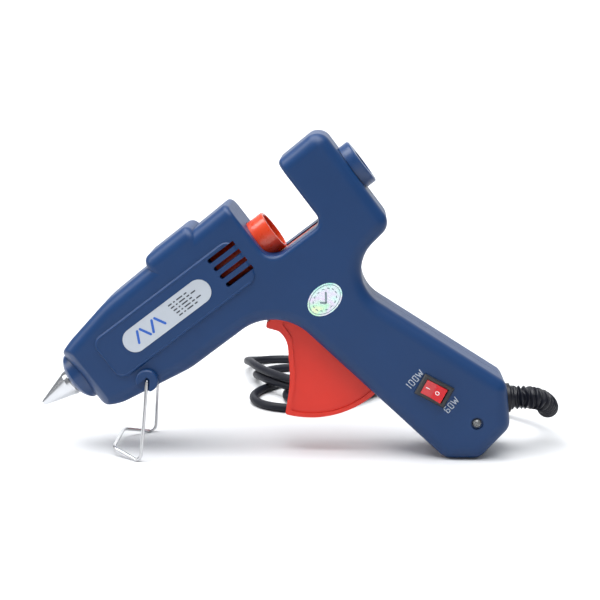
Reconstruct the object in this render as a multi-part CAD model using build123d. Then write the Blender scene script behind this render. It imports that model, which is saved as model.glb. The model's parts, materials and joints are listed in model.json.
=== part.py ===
from build123d import *
import math
import os

# Glue gun with two heat settings for 11 mm sticks, in millimetres.
# The pieces are drawn in the gun's own frame: x runs from the nozzle's tip along the barrel,
# y runs across the gun, and z is square to both. At the end everything is tilted into the
# posture in which the gun stands on its wire foot and on the end of its handle.

# Driving dimensions: the body
HALF_WIDTH = 16.5
EDGE_ROUND = 6.0
CORNER = 6.5
WALL = 2.4
INNER_ROUND = 3.6

# Corners of the body's side outline: x, z and the corner's radius
BODY_OUTLINE = [
    (12.0, 9.4, CORNER),
    (31.0, 15.9, 40.0),
    (55.0, 20.4, 60.0),
    (178.2, 24.3, CORNER),
    (177.8, -28.2, CORNER),
    (145.3, -33.0, 17.0),
    (176.0, -115.9, CORNER),
    (165.4, -133.3, CORNER),
    (145.7, -136.9, CORNER),
    (133.4, -127.5, CORNER),
    (115.8, -26.2, 23.0),
    (67.5, -26.3, 40.0),
    (29.5, -19.8, 22.0),
    (14.0, -6.0, CORNER),
]
HANDLE_FOOT = ((145.7, -136.9), (133.4, -127.5))
HANDLE_END = ((176.0, -115.9), (165.4, -133.3))

# Posture: the flat at the end of the handle lies on the surface
TILT = math.degrees(math.atan2(HANDLE_FOOT[1][1] - HANDLE_FOOT[0][1],
                               HANDLE_FOOT[0][0] - HANDLE_FOOT[1][0]))

# Rounded front of the barrel, seen from above
FRONT_X = 23.0
FRONT_RADIUS = 22.0
FRONT_EDGE = 1.4

# U-shaped gap where the stick is seen
GAP_FRONT = 125.7
GAP_REAR = 154.3
GAP_FLOOR = -9.3
GAP_FRONT_CORNER = 7.0
GAP_REAR_CORNER = 4.5
GAP_EDGE = 2.2

# Raised block on top of the barrel
BLOCK_X = (80.7, 106.7)
BLOCK_TOP = 25.6
BLOCK_END_ROUND = 3.6

# Raised side panels and their vents
PANEL_X = (40.0, 118.0)
PANEL_Z = (-11.8, 10.4)
PANEL_RISE = 0.8
PANEL_BEVEL = 0.6
PANEL_CORNER = 5.0
VENT_X = (104.3, 118.6)
VENT_Z = (7.2, 2.9, -1.4, -5.8)
VENT_WIDTH = 2.1

# Stick path
STICK_BORE = 6.1
COLLAR_RADIUS = 9.5
COLLAR_REAR = 134.0
COLLAR_FRONT = 104.0
RAIL_TOP = -9.8
RAIL_THICK = 3.1
RAIL_HALF = 5.0
RAIL_REAR = 163.0

# Trigger lever: its pivot, the arm's length to the carriage's pin, and its widths
PIVOT = (122.5, -42.5)
ARM = 27.0
TRIGGER_HALF = 7.3
RIM_HALF = 8.1
SLOT_HALF = 8.8
PIN_RADIUS = 1.5
SLOT_PLAY = 0.2

# Wire stand
STAND_PIVOT = (49.8, -18.2)
WIRE_RADIUS = 0.8
STAND_Y = 18.0
STAND_FOOT = (25.581, -45.147)
STAND_FOOT_Y = 23.5
STAND_BAR_FORWARD = 13.6
STAND_BAR_RISE = 4.0
STAND_BAR_HALF = 14.4
BOSS_RADIUS = 5.0
BOSS_Y = 19.2

# Switch and lamp on the near side of the handle
SWITCH_AT = (148.75, -98.3)
SWITCH_LEAN = -25.0
BEZEL = (10.0, 14.6, 1.5)
ROCKER_REST = -8.0
LAMP_AT = (154.9, -121.9)
LAMP_RADIUS = 2.0

# Screws that hold the two halves together
SCREWS = [
    (60.0, 14.2),
    (72.0, -19.4),
    (100.0, -19.6),
    (167.0, 16.2),
    (166.0, -20.5),
    (154.0, -72.0),
    (143.2, -121.5),
]

# Boot and cord, in the standing posture: the boot's route from the handle's end face, and the
# cord's from the boot's end to the coil
CORD_RADIUS = 2.2
BOOT_RADIUS = 4.6
BOOT_ROUTE = [
    (105.64, 0.0, 24.95),
    (118.4, 0.0, 25.9),
    (126.2, 7.5, 20.0),
    (127.4, 18.5, 14.6),
]
CORD_ROUTE = [
    (127.4, 18.5, 14.6),
    (128.4, 30.0, 12.4),
    (122.6, 42.5, 10.4),
    (112.4, 53.5, 7.4),
    (103.0, 65.0, 3.8),
    (96.0, 78.0, 2.2),
    (91.0, 91.0, 2.2),
]

# Coil of loose turns on the surface: centre, half lengths of its outer and inner edges, and lean
COIL_AT = (34.0, 108.0)
COIL_OUTER = (60.0, 54.0)
COIL_INNER = (34.0, 26.0)
COIL_HEIGHT = 12.0
COIL_LEAN = 50.0

# Plug, lying on its flat side inside the coil; its tail starts at the coil's inner edge
PLUG_START = -34.4
PLUG_TAIL = 15.4
PLUG_LENGTH = 30.0
PLUG_HALF_WIDTH = 13.0
PLUG_HEIGHT = 14.0
PLUG_PIN_RADIUS = 2.0
PLUG_PIN_LENGTH = 19.0
PLUG_PIN_SPACING = 19.0


def flat(corners):
    """A closed outline in the x-z plane; each corner is x, z and, if it is rounded, its radius."""
    points = [(c[0], 0, c[1]) for c in corners]
    radii = [c[2] if len(c) > 2 else 0.0 for c in corners]
    return make_face(FilletPolyline(*points, radius=radii, close=True).edges())


def flat_yz(corners):
    """A closed outline in the y-z plane, from points of y and z."""
    return make_face(Polyline(*[(0, y, z) for y, z in corners], close=True).edges())


def slab(face, low, high):
    """The outline made solid from y = low to y = high."""
    return extrude(Pos(0, low, 0) * face, amount=high - low, dir=(0, 1, 0))


def block(x, y, z):
    """A box from its limits along each axis."""
    size = (x[1] - x[0], y[1] - y[0], z[1] - z[0])
    return Pos((x[0] + x[1]) / 2, (y[0] + y[1]) / 2, (z[0] + z[1]) / 2) * Box(*size)


def turned(points):
    """A solid of revolution about the x axis, from points of x and radius."""
    return revolve(flat(points), Axis.X)


def rod(start, end, radius):
    """A cylinder between two points."""
    direction = Vector(end) - Vector(start)
    plane = Plane(origin=start, z_dir=direction)
    return extrude(plane * Circle(radius), amount=direction.length)


def pipe(line, radius):
    """A round bar swept along a line."""
    return sweep(Plane(origin=line @ 0, z_dir=line % 0) * Circle(radius), path=line)


def arc_radii(points):
    """For each inner point, 0.45 of its shorter run over the tangent of half its turn."""
    radii = []
    for before, here, after in zip(points, points[1:], points[2:]):
        into = Vector(here) - Vector(before)
        out = Vector(after) - Vector(here)
        half_turn = math.radians(into.get_angle(out)) / 2
        radii.append(0.45 * min(into.length, out.length) / math.tan(half_turn))
    return radii


def wire_run(points, radius):
    """An inner wire along straight runs with rounded corners."""
    line = FilletPolyline(*points, radius=arc_radii(points))
    return pipe(line, radius)


def both_sides(part):
    """The part and its mirror image across the middle plane."""
    return part + mirror(part, about=Plane.XZ)


# Body shells


def outer_body():
    body = slab(flat(BODY_OUTLINE), -HALF_WIDTH, HALF_WIDTH)
    side_edges = [e for e in body.edges() if abs(abs(e.center().Y) - HALF_WIDTH) < 0.01]
    body = fillet(side_edges, EDGE_ROUND)
    body = body & front_limit(FRONT_RADIUS)
    front = [f for f in body.faces() if f.geom_type == GeomType.CYLINDER
             and abs(f.radius - FRONT_RADIUS) < 0.01]
    body = fillet(front[0].outer_wire().edges(), FRONT_EDGE)
    gap = slab(gap_outline(0), -2 * HALF_WIDTH, 2 * HALF_WIDTH)
    cut = body - gap
    rims = [e for e in new_edges(body, combined=cut) if is_gap_rim(e)]
    body = fillet(rims, GAP_EDGE)
    return body + raised_block() + both_sides(side_panel()) + both_sides(stand_boss())


def front_limit(radius):
    """What lies behind the barrel's rounded front, seen from above."""
    centre = FRONT_X + FRONT_RADIUS
    plan = Pos(centre, 0) * Circle(radius) + Pos(centre + 100, 0) * Rectangle(200, 60)
    return extrude(Pos(0, 0, -200) * plan, amount=300)


def gap_outline(wall):
    """The gap's outline, or that of the wall round it."""
    top = 60
    floor = GAP_FLOOR - wall
    return flat([
        (GAP_FRONT - wall, top),
        (GAP_FRONT - wall, floor, GAP_FRONT_CORNER + wall),
        (GAP_REAR + wall, floor, GAP_REAR_CORNER + wall),
        (GAP_REAR + wall, top),
    ])


def is_gap_rim(edge):
    """True on the gap's rim, and false on the smooth joins between its own walls."""
    box = edge.bounding_box()
    runs_across = box.size.X < 0.01 and box.size.Z < 0.01
    return not runs_across or edge.center().Z > 15


def raised_block():
    x0, x1 = BLOCK_X
    solid = slab(flat([(x0, 8.0), (x0, BLOCK_TOP - 0.3), (x1, BLOCK_TOP + 0.1), (x1, 8.0)]),
                 -HALF_WIDTH, HALF_WIDTH)
    long_edges = [e for e in solid.edges() if e.center().Z > 20 and abs(e.center().Y) > 16]
    solid = fillet(long_edges, EDGE_ROUND)
    ends = [e for e in solid.edges() if e.center().Z > 9
            and min(abs(e.center().X - x0), abs(e.center().X - x1)) < 0.2]
    return fillet(ends, BLOCK_END_ROUND)


def side_panel():
    x0, x1 = PANEL_X
    z0, z1 = PANEL_Z
    outline = flat([(x, z, PANEL_CORNER) for x, z in ((x0, z0), (x0, z1), (x1, z1), (x1, z0))])
    panel = slab(outline, -HALF_WIDTH - PANEL_RISE, -HALF_WIDTH + 1)
    return chamfer(panel.faces().sort_by(Axis.Y)[0].edges(), PANEL_BEVEL)


def stand_boss():
    x, z = STAND_PIVOT
    boss = rod((x, -HALF_WIDTH + 4, z), (x, -BOSS_Y, z), BOSS_RADIUS)
    return chamfer(boss.faces().sort_by(Axis.Y)[0].edges(), 0.5)


def inner_space():
    """The room inside the walls, which keeps clear of the gap."""
    inset = offset(flat(BODY_OUTLINE), -WALL)
    half = HALF_WIDTH - WALL
    space = slab(inset, -half, half)
    side_edges = [e for e in space.edges() if abs(abs(e.center().Y) - half) < 0.01]
    space = fillet(side_edges, INNER_ROUND) & front_limit(FRONT_RADIUS - WALL)
    return space - slab(gap_outline(WALL), -2 * HALF_WIDTH, 2 * HALF_WIDTH)


def inner_ribs():
    """Screw bosses, pivot bosses, the chamber's bulkhead and the trigger spring's stop."""
    ribs = block((86, 88), (-15, 15), (-14, 19)) - rod((80, 0, 0), (95, 0, 0), 8.9)
    ribs += block((146.2, 148.4), (-15, 15), (-71, -57))
    for x, z in SCREWS:
        ribs += rod((x, -15, z), (x, 15, z), 3.1)
    pivot = rod((PIVOT[0], 9.0, PIVOT[1]), (PIVOT[0], 15, PIVOT[1]), 3.2)
    stand = rod((STAND_PIVOT[0], 10.0, STAND_PIVOT[1]), (STAND_PIVOT[0], 15, STAND_PIVOT[1]), 3.0)
    return ribs + both_sides(pivot) + both_sides(stand)


def vents():
    slots = []
    for z in VENT_Z:
        x0, x1 = VENT_X
        end = VENT_WIDTH / 2 - 0.01
        low, high = z - VENT_WIDTH / 2, z + VENT_WIDTH / 2
        slots.append(slab(flat([(x0, low, end), (x0, high, end), (x1, high), (x1, low)]), -20, 20))
    return slots


def body_cuts():
    """Everything that is cut from both halves."""
    trigger_slot = flat([(107.5, -26.0), (127.0, -26.0), (136.0, -88.4), (118.0, -88.4),
                         (107.0, -40.0)])
    boot = Vector(*end_face_point(0))
    outward = end_face_normal()
    seam_face = flat(BODY_OUTLINE)
    seam = slab(seam_face, -0.12, 0.12) - slab(offset(seam_face, -0.4), -1, 1)
    x, z = PIVOT
    sx, sz = STAND_PIVOT
    cuts = [
        rod((10, 0, 0), (32, 0, 0), 9.9),
        rod((119, 0, 0), (136, 0, 0), COLLAR_RADIUS + 0.35),
        block((119, 160), (-RAIL_HALF - 0.4, RAIL_HALF + 0.4), (RAIL_TOP - RAIL_THICK - 0.3, -9.0)),
        rod((150, 0, 0), (160, 0, 0), 8.7),
        rod((170, 0, 0), (180, 0, 0), 8.5),
        slab(trigger_slot, -SLOT_HALF, SLOT_HALF),
        rod(boot - outward * 8, boot + outward * 4, 4.1),
        seam,
        rod((x, -10.4, z), (x, 10.4, z), PIN_RADIUS + 0.02),
        rod((sx, -21, sz), (sx, 21, sz), WIRE_RADIUS + 0.06),
    ]
    notch = stand_notch()
    return cuts + vents() + [notch, mirror(notch, about=Plane.XZ)]


def stand_notch():
    """The sector that the stand's leg swings through, open on the boss's outer face."""
    x, z = STAND_PIVOT
    reach = 9.0
    first, last = math.radians(180), math.radians(238)
    sector = [(x + 1.3, z + 1.3), (x + reach * math.cos(first), z + 1.3)]
    sector.append((x - reach, z - reach))
    sector.append((x + reach * math.cos(last), z + reach * math.sin(last)))
    sector.append((x + 1.3, z - 0.6))
    return slab(flat(sector), -BOSS_Y - 1, -STAND_Y + WIRE_RADIUS + 0.3)


def end_face_point(along):
    """A point on the middle of the handle's end face, moved along it."""
    (x0, z0), (x1, z1) = HANDLE_END
    length = math.hypot(x1 - x0, z1 - z0)
    share = 0.5 + along / length
    return (x0 + (x1 - x0) * share, 0, z0 + (z1 - z0) * share)


def end_face_normal():
    (x0, z0), (x1, z1) = HANDLE_END
    return Vector(-(z1 - z0), 0, x1 - x0).normalized()


def shells():
    """The two halves of the body, split on the middle plane."""
    outer = outer_body()
    space = inner_space()
    hollow = outer - space + (inner_ribs() & space)
    hollow = hollow - body_cuts()
    left = hollow & block((0, 200), (-40, 0), (-200, 60))
    right = hollow & block((0, 200), (0, 40), (-200, 60))
    x, z = LAMP_AT
    left = left - switch_hole() - rod((x, -20, z), (x, -10, z), LAMP_RADIUS + 0.1)
    left = left - rod((x, -20, z), (x, -15.5, z), LAMP_RADIUS + 0.8)
    for x, z in SCREWS:
        left -= rod((x, -9.0, z), (x, 1, z), 1.35)
        right -= rod((x, -1, z), (x, 20, z), 1.6)
        right -= rod((x, 13.2, z), (x, 20, z), 2.9)
    return largest(left), largest(right)


def largest(part):
    """The part's main solid."""
    return part.solids().sort_by(SortBy.VOLUME)[-1]


# Nose, nozzle and heating


def nose_ring():
    """Domed ring whose skirt meets the barrel's rounded front, held by a flange behind it."""
    ring = turned([(18.4, 5.45), (18.4, 6.6), (19.2, 9.0), (20.4, 10.7), (21.4, 11.6),
                   (22.8, 11.6), (22.8, 9.7), (29.4, 9.7), (29.4, 11.2), (31.0, 11.2),
                   (31.0, 8.7), (28.9, 8.7), (28.9, 8.05), (25.0, 8.05), (25.0, 5.45)])
    skirt = turned([(22.0, 9.7), (22.0, 11.6), (27.5, 11.6), (27.5, 9.7)])
    return ring + (skirt - front_limit(FRONT_RADIUS + 0.1))


def nozzle():
    return turned([(0.0, 0.9), (0.0, 1.3), (15.8, 6.1), (17.6, 6.1), (17.6, 5.3), (25.0, 5.3),
                   (25.0, 4.0), (34.0, 4.0),
                   (34.0, 2.4), (16.0, 2.4), (4.0, 0.9)])


def melt_chamber():
    barrel = turned([(25.3, 4.1), (25.3, 8.0), (29.0, 8.0), (29.0, 8.6), (76.0, 8.6),
                     (76.0, 7.2), (84.0, 7.2), (84.0, 5.75), (40.0, 5.75), (35.0, 2.8),
                     (34.2, 2.8), (34.2, 4.1)])
    pad = block((38, 72), (-7.5, 7.5), (-13.2, -6.5)) - rod((30, 0, 0), (80, 0, 0), 8.0)
    return barrel + pad - block((36, 74), (-6.0, 6.0), (-11.8, -9.2))


def heater():
    return block((39, 71), (-5.8, 5.8), (-11.6, -9.4))


def heater_clip():
    """Spring plate that grips the pad from below."""
    plate = block((46, 64), (-8.6, 8.6), (-14.0, -13.3))
    return plate + both_sides(block((46, 64), (7.9, 8.6), (-13.6, -9.5)))


def heat_shield():
    """Insulating sheet bent over the top of the chamber."""
    sheet = turned([(34, 10.2), (34, 10.7), (76, 10.7), (76, 10.2)])
    return sheet & block((30, 80), (-12, 12), (-4.5, 12))


def feed_sleeve():
    return turned([(78.0, 7.25), (78.0, 8.8), (93.0, 8.8), (93.0, 5.9), (84.2, 5.9), (84.2, 7.25)])


def sleeve_clamp():
    return turned([(79.0, 8.85), (79.0, 9.6), (82.0, 9.6), (82.0, 8.85)])


# Feed carriage and grip


def feed_carriage():
    collar = turned([(COLLAR_FRONT, 6.2), (COLLAR_FRONT, COLLAR_RADIUS),
                     (COLLAR_REAR, COLLAR_RADIUS), (COLLAR_REAR, 8.1), (113.0, 7.9), (111.0, 6.2)])
    collar = chamfer(collar.faces().sort_by(Axis.X)[-1].edges(), 0.3)
    rail_z = (RAIL_TOP - RAIL_THICK, RAIL_TOP)
    rail = block((COLLAR_FRONT, RAIL_REAR), (-RAIL_HALF, RAIL_HALF), rail_z)
    foot = block((COLLAR_FRONT, COLLAR_REAR - 3), (-3.4, 3.4), (RAIL_TOP - 1, -8.6))
    ear_face = flat([(PIVOT[0] - 4.6, RAIL_TOP - 1), (PIVOT[0] + 4.6, RAIL_TOP - 1),
                     (PIVOT[0] + 4.6, -20.2, 2.0), (PIVOT[0] - 4.6, -20.2, 2.0)])
    ears = both_sides(slab(ear_face, 3.0, 5.0))
    lugs = both_sides(block((112, 122), (2.2, 4.0), (8.0, 15.2)))
    half = PIN_RADIUS + SLOT_PLAY
    x0, x1 = PIVOT[0] - half, PIVOT[0] + half
    z1 = PIVOT[1] + ARM + half
    z0 = z1 - 2 * half - 1.6
    pin_slot = flat([(x, z, half - 0.01) for x, z in ((x0, z1), (x1, z1), (x1, z0), (x0, z0))])
    solid = collar + rail + foot + ears + lugs
    solid = solid - slab(pin_slot, -8, 8)
    solid = solid - block((105.5, 122.5), (-2.1, 2.1), (3.0, 12))
    solid = solid - rod((118.5, -8, 12.9), (118.5, 8, 12.9), 1.03)
    bore = rod((COLLAR_FRONT - 1, 0, 0), (112, 0, 0), 6.2) + rod((112, 0, 0), (140, 0, 0), 7.9)
    return largest(solid - (bore & block((0, 200), (-9, 9), (-9, 3))))


def grip_pawl():
    """Tongue whose tip bites the stick when the carriage moves forward."""
    tongue = flat([(107.6, 6.3), (109.2, 6.3), (118.6, 10.6), (120.8, 12.0), (120.6, 14.4),
                   (117.0, 15.0), (107.2, 8.4)])
    return slab(tongue, -1.9, 1.9) - rod((118.5, -5, 12.9), (118.5, 5, 12.9), 1.05)


def pawl_pin():
    return rod((118.5, -4.6, 12.9), (118.5, 4.6, 12.9), 1.0)


# Trigger


def trigger_outline():
    """Lip, finger face, tip, bottom edge on an arc about the pivot, and the hidden rear edge."""
    return flat([
        (118.0, -33.8),
        (111.0, -30.6, 2.0),
        (106.6, -30.6, 0.9),
        (105.0, -32.3, 0.9),
        (108.6, -37.0, 4.0),
        (109.3, -42.3, 11.0),
        (98.6, -58.6, 60.0),
        (87.5, -69.2, 1.2),
        (105.2, -90.6, 43.0),
        (133.3, -84.5),
        (128.4, -60.0, 8.0),
        (127.3, -44.0),
        (125.6, -38.6),
    ])


def trigger_field():
    """The lower field inside the trigger's raised rim."""
    return flat([
        (117.4, -36.3),
        (111.8, -34.2, 1.5),
        (111.5, -42.9, 8.5),
        (100.4, -60.1, 57.0),
        (90.6, -69.4, 0.8),
        (106.1, -88.0, 38.0),
        (130.6, -82.7),
        (126.1, -60.2, 8.0),
        (125.0, -44.2),
        (123.6, -39.6),
    ])


def trigger():
    outline, field = trigger_outline(), trigger_field()
    plate = slab(outline, -TRIGGER_HALF, TRIGGER_HALF)
    rim = slab(outline, -RIM_HALF, RIM_HALF) - slab(field, -10, 10)
    web = block((122.8, 124.6), (-6, 6), (-72, -56))
    pocket = slab(field, -5.2, 5.2)
    opening = block((124.6, 135), (-5.2, 5.2), (-83, -50))
    x, z = PIVOT
    hub = rod((x, -RIM_HALF, z), (x, RIM_HALF, z), 4.4)
    arm_face = flat([(x - 3.2, z), (x - 3.0, z + ARM - 1, 2.9), (x + 3.0, z + ARM - 1, 2.9),
                     (x + 3.2, z)])
    arm = slab(arm_face, -2.4, 2.4) + rod((x, -2.4, z + ARM), (x, 2.4, z + ARM), 2.2)
    cross_pin = rod((x, -5.6, z + ARM), (x, 5.6, z + ARM), PIN_RADIUS)
    solid = plate + rim - pocket - opening + (web & plate) + hub + arm + cross_pin
    solid = solid - rod((x, -12, z), (x, 12, z), PIN_RADIUS + 0.05)
    return largest(solid)


def trigger_pin():
    return rod((PIVOT[0], -10.3, PIVOT[1]), (PIVOT[0], 10.3, PIVOT[1]), PIN_RADIUS)


def trigger_spring():
    """Coil spring between the trigger's web and the handle's stop."""
    start, end, coil_radius = 125.2, 145.8, 2.8
    turns = 9
    coil = Helix(pitch=(end - start) / turns, height=end - start, radius=coil_radius)
    section = Plane(origin=coil @ 0, z_dir=coil % 0) * Circle(0.4)
    spring = sweep(section, path=coil, is_frenet=True)
    return Location((start, 0, -64.0), (0, 90, 0)) * spring


# Rear guide and entry


def rear_guide_tube():
    return turned([(153.8, 6.6), (153.8, 8.6), (157.0, 8.6), (157.0, 9.4), (158.8, 9.4),
                   (158.8, 8.6), (172.5, 8.6), (172.5, 6.6)])


def rear_entry_ring():
    knob = rod((178.3, 0, 0.8), (183.3, 0, 0.8), 10.7)
    knob = chamfer(knob.faces().sort_by(Axis.X)[-1].edges(), 0.5)
    neck = rod((173.0, 0, 0), (178.4, 0, 0), 8.4)
    hook = rod((173.0, 0, 0), (174.8, 0, 0), 9.6)
    return knob + neck + hook - rod((170, 0, 0), (190, 0, 0), STICK_BORE)


# Stand


def stand():
    px, pz = STAND_PIVOT
    fx, fz = STAND_FOOT
    lean = math.radians(TILT)
    forward = Vector(-math.cos(lean), 0, math.sin(lean))
    up = Vector(math.sin(lean), 0, math.cos(lean))
    bar = Vector(fx, 0, fz) + forward * STAND_BAR_FORWARD + up * STAND_BAR_RISE
    side = [
        Vector(px, -11, pz),
        Vector(px, -STAND_Y, pz),
        Vector(fx, -STAND_FOOT_Y, fz),
        Vector(bar.X, -STAND_BAR_HALF, bar.Z),
    ]
    other = [Vector(p.X, -p.Y, p.Z) for p in reversed(side)]
    line = FilletPolyline(*side, *other, radius=[1.2, 3.0, 5.0, 5.0, 3.0, 1.2])
    return pipe(line, WIRE_RADIUS)


# Electrical parts


def on_near_side(part):
    """A part drawn about the switch's centre, placed on the near side of the handle."""
    x, z = SWITCH_AT
    return Location((x, -HALF_WIDTH, z), (0, SWITCH_LEAN, 0)) * part


def switch_hole():
    return on_near_side(Box(9.0, 12, 13.2))


def switch_body():
    wide, long, thick = BEZEL
    bezel = Pos(0, -thick / 2, 0) * Box(wide, thick, long)
    bezel = chamfer(bezel.faces().sort_by(Axis.Y)[0].edges(), 0.5)
    case = Pos(0, 6, 0) * Box(8.6, 12.0, 12.8)
    cavity = Pos(0, 1.0, 0) * Box(7.0, 8.0, 10.8)
    return on_near_side(bezel + case - cavity)


def switch_rocker():
    """Rocker with one end pressed in; it turns about an axis across the bezel."""
    half = [(-2.8, 4.95), (0.5, 4.75), (3.2, 1.6)]
    other = [(y, -z) for y, z in reversed(half)]
    side = flat_yz([(-1.9, 0.0)] + half + other)
    solid = extrude(Pos(-3.3, 0, 0) * side, amount=6.6, dir=(1, 0, 0))
    solid = solid + rod((-3.45, 0, 0), (3.45, 0, 0), 0.9)
    return on_near_side(Rot(ROCKER_REST, 0, 0) * solid)


def switch_terminals():
    blades = [Pos(0, 16.0, z) * Box(0.8, 8.0, 3.2) for z in (-4.2, 0.0, 4.2)]
    return on_near_side(Compound(children=blades))


def indicator_lens():
    x, z = LAMP_AT
    stem = rod((x, -15.6, z), (x, -12.6, z), LAMP_RADIUS)
    dome = Pos(x, -15.6, z) * Sphere(LAMP_RADIUS)
    dome = dome & block((x - 3, x + 3), (-18, -15.6), (z - 3, z + 3))
    flange = rod((x, -13.9, z), (x, -12.6, z), LAMP_RADIUS + 0.7)
    return stem + dome + flange


def indicator_lamp():
    x, z = LAMP_AT
    bulb = rod((x, -12.4, z), (x, -6.5, z), 1.5)
    legs = [rod((x + dx, -6.6, z), (x + dx, 1.2, z), 0.25) for dx in (-0.8, 0.8)]
    return bulb + legs[0] + legs[1]


def circuit_board():
    return block((147.0, 157.2), (1.4, 2.8), (-125.0, -108.5))


def diode():
    """Diode lying on the board, with bent leads."""
    x, y = 149.6, 4.8
    body = rod((x, y, -119.5), (x, y, -114.5), 1.5)
    leads = [(x, 2.9, -122), (x, y, -122), (x, y, -119.4)]
    other = [(x, 2.9, -112), (x, y, -112), (x, y, -114.6)]
    return body + wire_run(leads, 0.35) + wire_run(other, 0.35)


def heater_wires():
    """Two wires from the heater along the far side of the handle to the board."""
    runs = []
    for step in (0, 2.2):
        points = [(72.0, 3.0 + step, -15.2), (84.0, 8.0 + step, -16.6), (96.0, 10.2 + step / 2, -15.0),
                  (118.0 - step, 10.6, -16.8), (132.0 - step, 10.6, -22.0), (140.5 - step, 10.6, -38.0),
                  (144.0 - step, 10.6, -58.0), (144.8 - step, 10.6, -72.0), (150.5 - step, 9.6, -84.0),
                  (156.6 - step, 6.6, -97.0), (155.6 - step, 3.8, -108.8)]
        runs.append(wire_run(points, 0.8))
    return Compound(children=runs)


def mains_wires():
    """Two wires from the cord's inner end, to the switch and to the board."""
    to_switch = [(156.8, -1.0, -117.2), (153.4, -2.6, -113.0), (150.6, -1.0, -108.0),
                 (151.6, 0.8, -102.4)]
    to_board = [(157.6, 0.8, -115.4), (162.0, -0.4, -112.0), (162.6, 0.4, -110.6)]
    return Compound(children=[wire_run(to_switch, 0.8), wire_run(to_board, 0.8)])


def cord_end():
    """The cord's jacket inside the handle, from the boot to where its wires part."""
    outward = end_face_normal()
    face = Vector(*end_face_point(0))
    return rod(face - outward * 14.5, face - outward * 5.2, CORD_RADIUS)


def cord_clamp():
    """A bar across the cord with a screw at each end."""
    outward = end_face_normal()
    centre = Vector(*end_face_point(0)) - outward * 10
    angle = math.degrees(math.atan2(outward.Z, outward.X))
    bar = Box(5.0, 19.0, 2.4)
    bar = bar - [Pos(0, y, 0) * Cylinder(1.2, 6) for y in (-6.6, 6.6)]
    return Location(centre, (0, -angle, 0)) * (Pos(0, 0, CORD_RADIUS + 1.3) * bar)


def clamp_screws():
    outward = end_face_normal()
    centre = Vector(*end_face_point(0)) - outward * 10
    angle = math.degrees(math.atan2(outward.Z, outward.X))
    screws = []
    for y in (-6.6, 6.6):
        shaft = Pos(0, y, 1.6) * Cylinder(1.1, 9.0)
        head = Pos(0, y, CORD_RADIUS + 3.2) * Cylinder(2.1, 1.3)
        screws.append(shaft + head)
    return Location(centre, (0, -angle, 0)) * Compound(children=screws)


# Labels and screws


def rating_label():
    x0, x1, middle, half = 51.5, 98.5, -0.6, 5.5
    outline = flat([(x0, middle - half, half - 0.01), (x0, middle + half, half - 0.01),
                    (x1, middle + half, half - 0.01), (x1, middle - half, half - 0.01)])
    face = -HALF_WIDTH - PANEL_RISE
    return slab(outline, face - 0.25, face)


def oval_sticker():
    oval = Plane.XZ * Ellipse(8.6, 6.2)
    return slab(Location((134.9, 0, -36.6), (0, -6.5, 0)) * oval, -HALF_WIDTH - 0.15, -HALF_WIDTH)


def shell_screws():
    screws = []
    for x, z in SCREWS:
        shaft = rod((x, -8.0, z), (x, 13.2, z), 1.3)
        head = rod((x, 13.2, z), (x, 14.9, z), 2.5)
        slot = block((x - 2.0, x + 2.0), (14.2, 16), (z - 0.35, z + 0.35))
        cross = block((x - 0.35, x + 0.35), (14.2, 16), (z - 2.0, z + 2.0))
        screws.append(shaft + head - slot - cross)
    return Compound(children=screws)


# Cord, in the standing posture


def strain_relief():
    """Boot: a flange on the handle's end face, a neck through the wall and a bent body."""
    line = FilletPolyline(*BOOT_ROUTE, radius=arc_radii(BOOT_ROUTE))
    return pipe(line, BOOT_RADIUS)


def boot_flange():
    """The boot's flange and neck, drawn on the end face in the gun's frame."""
    outward = end_face_normal()
    face = Vector(*end_face_point(0))
    flange = rod(face, face + outward * 1.8, 7.0)
    return flange + rod(face - outward * 5.0, face + outward * 4.0, 4.0)


def cord():
    line = FilletPolyline(*CORD_ROUTE, radius=arc_radii(CORD_ROUTE))
    tube = pipe(line, CORD_RADIUS)
    share = tube.volume / (math.pi * CORD_RADIUS ** 2 * line.length)
    print("cord radii", [round(r, 1) for r in arc_radii(CORD_ROUTE)])
    print("cord length", round(line.length, 1), "volume over section times length", round(share, 4))
    return tube


def cord_coil():
    """Outer shape of the loose turns."""
    ring = Ellipse(*COIL_OUTER) - Ellipse(*COIL_INNER)
    return in_coil(extrude(ring, amount=COIL_HEIGHT))


def in_coil(part):
    """A part drawn along +X from the coil's centre, turned with the coil's lean."""
    return Location((*COIL_AT, 0), (0, 0, COIL_LEAN)) * part


def turned_back(part):
    """The plug's pieces, which point the other way along the coil."""
    return in_coil(Rot(0, 0, 180) * part)


def plug():
    middle = PLUG_HEIGHT / 2
    body = Box(PLUG_LENGTH, 2 * PLUG_HALF_WIDTH, PLUG_HEIGHT)
    body = fillet(body.edges().filter_by(Axis.Z), 5.0)
    body = fillet(body.faces().sort_by(Axis.Z)[-1].edges(), 2.5)
    body = Pos(PLUG_START + PLUG_TAIL + PLUG_LENGTH / 2, 0, middle) * body
    plane = Plane(origin=(PLUG_START, 0, middle), z_dir=(1, 0, 0))
    return turned_back(body + Solid.make_cone(3.0, 5.2, PLUG_TAIL + 1, plane))


def plug_pins():
    x = PLUG_START + PLUG_TAIL + PLUG_LENGTH
    pins = []
    for side in (-0.5, 0.5):
        y = side * PLUG_PIN_SPACING
        tip = (x + PLUG_PIN_LENGTH, y, PLUG_HEIGHT / 2)
        pin = rod((x, y, PLUG_HEIGHT / 2), tip, PLUG_PIN_RADIUS)
        pins.append(turned_back(chamfer(pin.faces().sort_by(Axis.X)[-1].edges(), 0.6)))
    return Compound(children=pins)


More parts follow.
